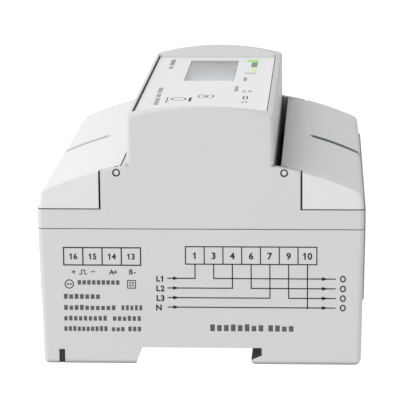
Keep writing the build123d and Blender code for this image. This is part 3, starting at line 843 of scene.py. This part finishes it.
class METER_OT_terminals(MeterOperator):
    """Finish the terminals and number them on the deck under the covers"""

    bl_idname = "meter.terminals"
    bl_label = "Terminals"

    deck_number_height = 2.2
    terminals = (("power", POWER_NUMBERS, 31.2), ("signal", SIGNAL_NUMBERS, -34.6))

    def execute(self, context):
        marks = context.scene.meter.marks
        screw = plated_steel("Plated screw steel", (0.66, 0.66, 0.63))
        cage = plated_steel("Plated cage steel", (0.58, 0.58, 0.56), (1, 1, 0.15))
        for kind, numbers, *_ in self.terminals:
            for number in numbers:
                paint_nodes(screw, f"{kind}_screw_{number}")
                paint_nodes(cage, f"{kind}_cage_{number}")
        block = moulded_plastic("Black block plastic", (0.02, 0.02, 0.022), 0.4 * MM, 0.25 * MM)
        paint_nodes(block, "power_terminal_block", "signal_terminal_block")
        metal = copper("Rolled copper", (0.66, 0.36, 0.22))
        paint_nodes(metal, "phase_busbars", "neutral_busbar", "signal_contacts")
        ink = dry_ink("White deck number ink", (0.7, 0.7, 0.69))
        deck_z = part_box("power_terminal_block")[1].z
        figures = Marks(Matrix.Translation((0, 0, deck_z)), marks.ink)
        for kind, numbers, x in self.terminals:
            for number in numbers:
                low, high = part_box(f"{kind}_screw_{number}")
                y = (low.y + high.y) / 2 / MM
                figures.figure(str(number), x, y, self.deck_number_height)
        settle(figures.finish("deck_numbers", ink), "case")
        return {"FINISHED"}


class METER_OT_rail_clips(MeterOperator):
    """Finish the rail clips and wind their springs"""

    bl_idname = "meter.rail_clips"
    bl_label = "Rail clips and springs"

    def execute(self, context):
        spring = context.scene.meter.spring
        clip = moulded_plastic("Black clip plastic", (0.022, 0.022, 0.024), 0.5 * MM, 0.3 * MM)
        wire = plated_steel("Drawn spring wire", (0.42, 0.42, 0.43), (1, 1, 1), (0.2, 0.35))
        tree = coil_tree()
        for end in ("front", "rear"):
            paint_nodes(clip, f"rail_clip_{end}")
            node = f"clip_spring_{end}"
            low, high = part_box(node)
            room = high.x - low.x
            radius = (high.y - low.y) / 2 - spring.wire / 2
            coil = grown(
                f"coil_{end}", tree, Length=room, Radius=radius, Wire=spring.wire,
                Turns=spring.turns, Steps=spring.steps, Material=wire,
            )
            middle = (low + high) / 2
            coil.data.transform(Matrix.Translation((low.x, middle.y, middle.z)))
            settle(coil, "case")
            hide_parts(node)
            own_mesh(coil)
        return {"FINISHED"}


class METER_OT_electronics(MeterOperator):
    """Finish the boards and set small parts on them"""

    bl_idname = "meter.electronics"
    bl_label = "Boards and parts"

    leg_rows = (
        (-19.6, -11.5, 0, 1.0, 8), (-8.4, -11.5, 0, 1.0, 8), (-18.1, 4, 0, 1.0, 9),
        (-9.9, 4, 0, 1.0, 9), (-3.6, -25.0, 1.0, 0, 8), (-3.6, -15.0, 1.0, 0, 8),
    )
    leg_size = (0.5 * MM, 0.4 * MM, 0.3 * MM)
    leg_lift = 0.15
    part_rows = ((6, -8, 7), (9, -8, 7), (12, -8, 6), (-5, 2, 6), (-5, 16, 5))
    part_size = (1.6 * MM, 0.9 * MM, 0.7 * MM)
    part_step = (0, 2.1 * MM, 0)
    part_lift = 0.36
    part_unevenness = 0.35
    part_first_seed = 3

    def execute(self, context):
        board = circuit_board("Green board", (0.02, 0.17, 0.07))
        paint_nodes(board, "main_board", "display_board")
        chip = moulded_plastic("Black chip resin", (0.025, 0.025, 0.027), 0.3 * MM, 0.15 * MM)
        paint_nodes(chip, "metering_chips", "board_connector")
        steel = plated_steel("Plated board steel", (0.62, 0.62, 0.60))
        paint_nodes(steel, "board_screws", "radio_module")
        for label, base, node in (
            ("Dark blue sleeve", (0.02, 0.03, 0.08), "supply_capacitors"),
            ("Green battery sleeve", (0.05, 0.22, 0.08), "backup_battery"),
        ):
            paint_nodes(moulded_plastic(label, base, 0.6 * MM, 0.2 * MM, (0.2, 0.3)), node)
        paint_nodes(wound_tape("Yellow winding tape", (0.62, 0.50, 0.06)), "current_transformers")
        paint_nodes(wound_tape("Amber winding tape", (0.45, 0.26, 0.05)), "supply_transformer")
        tree = parts_row_tree()
        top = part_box("main_board")[1].z / MM
        legs = []
        for x, y, step_x, step_y, count in self.leg_rows:
            step = (step_x * MM, step_y * MM, 0)
            inputs = dict(Count=count, Step=step, Size=self.leg_size, Material=steel)
            legs.append((shift(x, y, top + self.leg_lift), inputs))
        lay_rows("chip_legs", tree, legs)
        pale = moulded_plastic("Tan part ceramic", (0.42, 0.33, 0.20), 0.2 * MM, 0.1 * MM)
        rows = []
        for seed, (x, y, count) in enumerate(self.part_rows, self.part_first_seed):
            rows.append((shift(x, y, top + self.part_lift), dict(
                Count=count, Step=self.part_step, Size=self.part_size,
                Unevenness=self.part_unevenness, Seed=seed, Material=pale,
            )))
        lay_rows("chip_resistors", tree, rows)
        return {"FINISHED"}


class METER_OT_end_marks(MeterOperator):
    """Print the terminal numbers and the wiring lines on the near end"""

    bl_idname = "meter.end_marks"
    bl_label = "Marks on the near end"

    # Millimetres: u is along X from the middle, v is up from the rail seat.
    signal_cells = (-42.15, 26.15)
    signal_cell_width = 5.92
    power_cells = (-4.68, 26.6)
    power_cell_width = 5.73
    cell_height = 5.5
    signal_number_rise, power_number_rise = 2.72, 2.66
    number_weight = 0.03
    wire_rows = (22.1, 19.02, 15.95, 12.93)
    wire_ends = (-10.18, 41.03)
    joint_dot = 0.35
    arrow_starts = (-8.6, 37.0)
    arrow_reach, arrow_half = 1.9, 0.58
    outlet_u = 43.4
    outlet_radii = (0.72, 0.86)
    outlet_line = 0.4
    line_names = ("L1", "L2", "L3", "N")
    line_name_u = {1: -13.05, 2: -12.5}
    line_name_drop = 0.15
    line_name_height, line_name_weight = 1.75, 0.035
    sign_line = 0.26
    plus = ((-39.6, 23.95), (-38.7, 23.95)), ((-39.15, 23.5), (-39.15, 24.4))
    pulse = (
        (-37.4, 23.25), (-36.75, 23.25), (-36.75, 24.55),
        (-35.75, 24.55), (-35.75, 23.25), (-35.1, 23.25),
    )
    minus = ((-33.75, 24.03), (-32.75, 24.03))
    bus_signs = (("A+", -26.9, 23.95), ("B-", -20.9, 24.05))
    bus_sign_height, bus_sign_weight = 1.55, 0.02
    emblem_ring = (-40.6, 20.1, 1.3, 1.3)
    emblem_bar = ((-41.3, 20.1), (-39.9, 20.1))
    emblem_line = 0.3
    squares = ((-22.6, -20.2, 18.9, 21.3, 0.26), (-21.9, -20.9, 19.6, 20.6, 0.22))
    word_lines = (
        (-38.0, 19.95, 9, 1.48, 1.05, 1.4, 0.95),
        (-42.35, 15.4, 7, 1.66, 1.15, 1.6, 0.85),
        (-42.35, 11.85, 10, 1.64, 1.1, 1.6, 0.8),
        (-24.6, 11.85, 5, 1.38, 0.85, 1.6, 0.85),
        (-42.4, 8.45, 9, 1.52, 1.0, 1.6, 0.8),
        (-27.3, 8.45, 6, 1.52, 1.0, 1.6, 0.8),
        (-42.45, 5.1, 10, 1.38, 0.95, 1.6, 0.85),
        (-27.7, 5.1, 3, 1.45, 1.0, 1.6, 0.7),
        (-22.6, 5.1, 3, 1.45, 1.0, 1.6, 0.9),
        (2.7, 5.35, 8, 2.13, 1.4, 2.3, 0.72),
        (20.6, 5.35, 4, 2.1, 1.4, 2.1, 0.72),
    )
    word_seed = 11

    def execute(self, context):
        settings = context.scene.meter
        marks, finish = settings.marks, settings.finish
        ink = dry_ink("Dark grey ink", finish.ink_colour)
        faint = dry_ink("Grey word ink", finish.word_colour)
        self.cell_rows(marks, ink)
        drawn = Marks(END_FACE, marks.ink)
        self.numbers(
            drawn, reversed(SIGNAL_NUMBERS), self.signal_cells, self.signal_cell_width,
            self.signal_number_rise, marks.small_number_height / MM,
        )
        middles = self.numbers(
            drawn, POWER_NUMBERS, self.power_cells, self.power_cell_width,
            self.power_number_rise, marks.number_height / MM,
        )
        self.wiring(drawn, middles, marks.thin_line / MM)
        self.signs(drawn)
        settle(drawn.finish("wiring_marks", ink), "case")
        still = Matrix.Identity(4)
        word_rows("plain_words", self.word_lines, END_FACE, still, marks, faint, self.word_seed)
        return {"FINISHED"}

    def cell_rows(self, marks, ink):
        rows = []
        for start, width, cells, line in (
            (self.signal_cells, self.signal_cell_width, len(SIGNAL_NUMBERS), marks.cell_line),
            (self.power_cells, self.power_cell_width, len(POWER_NUMBERS), marks.thin_line),
        ):
            rows.append((END_FACE @ shift(*start), dict(
                Cells=cells, Cell_width=width * MM, Cell_height=self.cell_height * MM,
                Line_width=line, Ink=marks.ink, Material=ink,
            )))
        lay_rows("terminal_cells", cell_row_tree(), rows)

    def numbers(self, drawn, numbers, start, width, rise, height):
        """Numbers a row of cells, and gives the middle of each cell."""
        middles = []
        for i, number in enumerate(numbers):
            middles.append(start[0] + (i + 0.5) * width)
            drawn.figure(str(number), middles[-1], start[1] + rise, height, self.number_weight)
        return middles

    def wiring(self, drawn, middles, width):
        """One line from each power terminal to its side, with arrows and names."""
        left, right = self.wire_ends
        foot = self.power_cells[1]
        neutral = self.wire_rows[-1]
        for u, v in zip(middles[0:6:2], self.wire_rows):
            drawn.path([(left, v), (u, v), (u, foot)], width)
        for u, v in zip(middles[1:6:2], self.wire_rows):
            drawn.path([(u, foot), (u, v), (right, v)], width)
        drawn.path([(left, neutral), (right, neutral)], width)
        drawn.path([(middles[6], foot), (middles[6], neutral)], width)
        drawn.disc(middles[6], neutral, self.joint_dot)
        for v in self.wire_rows:
            for u in self.arrow_starts:
                drawn.arrow(u, v, self.arrow_reach, self.arrow_half)
            drawn.ring(self.outlet_u, v, *self.outlet_radii, self.outlet_line)
        for name, v in zip(self.line_names, self.wire_rows):
            u, low = self.line_name_u[len(name)], v - self.line_name_drop
            drawn.figure(name, u, low, self.line_name_height, self.line_name_weight)

    def signs(self, drawn):
        """The signs under the signal cells, and the plain ring and squares."""
        for line in (*self.plus, self.pulse, self.minus):
            drawn.path(line, self.sign_line)
        for name, u, v in self.bus_signs:
            drawn.figure(name, u, v, self.bus_sign_height, self.bus_sign_weight)
        drawn.ring(*self.emblem_ring, self.emblem_line)
        drawn.path(self.emblem_bar, self.emblem_line)
        for square in self.squares:
            drawn.frame(*square)


class METER_OT_face_marks(MeterOperator):
    """Print the plain marks on the faceplate"""

    bl_idname = "meter.face_marks"
    bl_label = "Marks on the faceplate"

    # Millimetres: u is along X and v is along Y, both from the middle.
    word_fade = 2.6
    hook = ((-12.1, -27.2), (-12.1, -36.3), (-11.2, -36.3))
    hook_line = 0.34
    lamp_ring = (-8.55, -29.9, 2.3, 2.4, 0.45)
    lamp_bar = (-5.25, -4.45, -34.4, -27.4)
    pair_rings = ((-1.45, -25.2), (1.25, -25.2))
    pair_ring_size = (1.1, 2.7, 0.36)
    pair_bar = (-0.5, 0.3, -25.6, -24.8)
    dots = ((12.0, -18.0), (13.0, -18.0))
    dot_radius = 0.3
    box_mark = (11.9, 13.1, -30.0, -24.9, 0.4)
    arch = (12.5, -36.6, 0.75, 2.2, 0.4, 0, 180)
    rule = (10.4, 14.35, 19.6, 20.5)
    status_bars = {
        "slate": (12.2, 14.3, 32.8, 43.0),
        "green": (10.5, 14.3, 43.3, 49.1),
        "lime": (12.5, 14.3, 22.8, 31.5),
    }
    word_lines = (
        (-14.4, -40.3, 6, 2.0, 1.4, 1.5, 0.8),
        (-14.6, -26.5, 3, 2.1, 1.5, 1.5, 0.8),
        (-14.8, -18.5, 4, 2.5, 1.8, 1.5, 0.9),
        (-14.6, 29.4, 2, 3.0, 2.2, 1.4, 0.9),
        (-14.7, 37.4, 4, 3.0, 2.6, 1.5, 0.9),
        (11.7, 4.4, 3, 2.4, 1.9, 1.25, 0.8),
        (9.6, -15.8, 4, 2.5, 1.9, 1.3, 0.8),
    )
    word_seed = 41

    def execute(self, context):
        settings = context.scene.meter
        marks, finish = settings.marks, settings.finish
        self.signs(marks, dry_ink("Faceplate ink", finish.ink_colour))
        pale = tuple(c * self.word_fade for c in finish.word_colour)
        faint = dry_ink("Faceplate word ink", pale)
        lines = self.word_lines
        word_rows("faceplate_words", lines, FACEPLATE, QUARTER_TURN, marks, faint, self.word_seed)
        for name, edges in self.status_bars.items():
            drawn = Marks(FACEPLATE, marks.ink)
            drawn.bar(*edges)
            ink = dry_ink(f"{name.capitalize()} ink", getattr(finish, f"{name}_colour"))
            settle(drawn.finish(f"{name}_mark", ink), "case")
        return {"FINISHED"}

    def signs(self, marks, ink):
        drawn = Marks(FACEPLATE, marks.ink)
        drawn.path(self.hook, self.hook_line)
        drawn.ring(*self.lamp_ring)
        drawn.bar(*self.lamp_bar)
        for middle in self.pair_rings:
            drawn.ring(*middle, *self.pair_ring_size)
        drawn.bar(*self.pair_bar)
        for middle in self.dots:
            drawn.disc(*middle, self.dot_radius)
        drawn.frame(*self.box_mark)
        drawn.ring(*self.arch)
        drawn.bar(*self.rule)
        settle(drawn.finish("faceplate_signs", ink), "case")


# ---- stage


class METER_OT_stage(MeterOperator):
    """Set the floor, the soft lights and the camera"""

    bl_idname = "meter.stage"
    bl_label = "Stage"

    # Lengths in metres, and the camera's turns in degrees.
    floor_half = 4.0
    floor_seen = 0.96
    floor_greys = (0.19, 0.19, 0.19, 1), (0.21, 0.21, 0.21, 1)
    key_place, key_size = (-0.48, -0.18, 0.72), 0.45
    fill_place, fill_size = (-0.35, -0.90, 0.16), 0.5
    low_lean = -0.5
    low_fade = (0.3, 0.8, 1.0, 0.1)
    sensor = 36.0
    farthest = 20.0
    camera_place = (0.0382, -0.6988, 0.19057)
    camera_down, camera_left, camera_roll = 12.82, 3.35, 0.54

    def execute(self, context):
        stage = context.scene.meter.stage
        self.floor(stage.bounce)
        self.sky(context, stage.sky, stage.lean)
        self.light("Key light", self.key_place, self.key_size, stage.key_power)
        self.light("Fill light", self.fill_place, self.fill_size, stage.fill_power)
        self.camera(context, stage.lens)
        context.scene.view_settings.view_transform = "Standard"
        return {"FINISHED"}

    def floor(self, bounce):
        """A pale floor that lights the meter from below."""
        half = self.floor_half
        corners = ((-half, -half), (half, -half), (half, half), (-half, half))
        mesh = bpy.data.meshes.new("Floor")
        mesh.from_pydata([(x, y, CAD_BOX[0].z) for x, y in corners], [], [(0, 1, 2, 3)])
        pale = Finish("Pale floor")
        pale.set(Base_Color=pale.blend(pale.noise(0.3), *self.floor_greys))
        pale.set(Roughness=pale.between(pale.noise(0.1), 0.75, 0.85), Specular_IOR_Level=0.1)
        seen = pale.add("ShaderNodeLightPath").outputs["Is Camera Ray"]
        glow = pale.between(seen, bounce, self.floor_seen)
        pale.set(Emission_Color=(1, 1, 1, 1), Emission_Strength=glow)
        pale.bump(pale.noise(0.02), 0.0001, 0.05)
        mesh.materials.append(pale.material)
        placed("Floor", mesh)

    def sky(self, context, strength, lean):
        """Soft surroundings, brighter on the -X side and dim low down on the +X side."""
        world = bpy.data.worlds.new("White surroundings")
        world.use_nodes = True
        made = NodeMaker(world.node_tree)
        place = made.add("ShaderNodeTexCoord").outputs["Generated"]
        across = made.add("ShaderNodeSeparateXYZ", Vector=place).outputs
        low = made.maths("MULTIPLY_ADD", across["Z"], self.low_lean, across["X"])
        side = made.ramp(across["X"], -1.0, 1.0, 1 + lean, 1 - lean)
        background = world.node_tree.nodes["Background"]
        both = made.maths("MULTIPLY", side, made.ramp(low, *self.low_fade))
        made.feed(background.inputs["Color"], both)
        made.feed(background.inputs["Strength"], strength)
        context.scene.world = world

    def light(self, name, place, size, power):
        data = bpy.data.lights.new(name, "AREA")
        data.shape = "DISK"
        data.size = size
        data.energy = power
        lamp = bpy.data.objects.new(name, data)
        bpy.context.scene.collection.objects.link(lamp)
        lamp.location = place
        aim = (CAD_BOX[0] + CAD_BOX[1]) / 2 - Vector(place)
        lamp.rotation_mode = "QUATERNION"
        lamp.rotation_quaternion = aim.to_track_quat("-Z", "Y")

    def camera(self, context, lens):
        data = bpy.data.cameras.new("Camera")
        data.lens = lens
        data.sensor_width = self.sensor
        data.clip_end = self.farthest
        eye = bpy.data.objects.new("Camera", data)
        context.scene.collection.objects.link(eye)
        turn = Matrix.Rotation(math.radians(self.camera_left), 4, "Z")
        turn = turn @ Matrix.Rotation(-math.radians(self.camera_down), 4, "X")
        turn = turn @ Matrix.Rotation(math.radians(self.camera_roll), 4, "Y")
        turn = turn @ Matrix.Rotation(math.pi / 2, 4, "X")
        eye.matrix_world = Matrix.Translation(self.camera_place) @ turn
        context.scene.camera = eye


class METER_PT_parts(bpy.types.Panel):
    """Lists the meter's pieces"""

    bl_idname = "METER_PT_parts"
    bl_label = "Rail meter"
    bl_space_type = "VIEW_3D"
    bl_region_type = "UI"
    bl_category = "Meter"

    def draw(self, context):
        for operator in OPERATORS:
            self.layout.operator(operator.bl_idname)
        settings = context.scene.meter
        for group in (settings.finish, settings.marks, settings.spring, settings.stage):
            box = self.layout.box()
            for key in group.bl_rna.properties.keys():
                if key not in ("rna_type", "name"):
                    box.prop(group, key)


OPERATORS = (
    METER_OT_stage,
    METER_OT_case,
    METER_OT_display,
    METER_OT_terminals,
    METER_OT_rail_clips,
    METER_OT_electronics,
    METER_OT_end_marks,
    METER_OT_face_marks,
)
GROUPS = (FinishSettings, PrintSettings, SpringSettings, StageSettings, MeterSettings)


def register():
    for group in (*GROUPS, *OPERATORS, METER_PT_parts):
        bpy.utils.register_class(group)
    bpy.types.Scene.meter = PointerProperty(type=MeterSettings)


def unregister():
    del bpy.types.Scene.meter
    for group in reversed((*GROUPS, *OPERATORS, METER_PT_parts)):
        bpy.utils.unregister_class(group)


def main():
    register()
    bpy.ops.meter.stage()
    bpy.ops.meter.case()
    bpy.ops.meter.display()
    bpy.ops.meter.terminals()
    bpy.ops.meter.rail_clips()
    bpy.ops.meter.electronics()
    bpy.ops.meter.end_marks()
    bpy.ops.meter.face_marks()


if __name__ == "__main__":
    main()
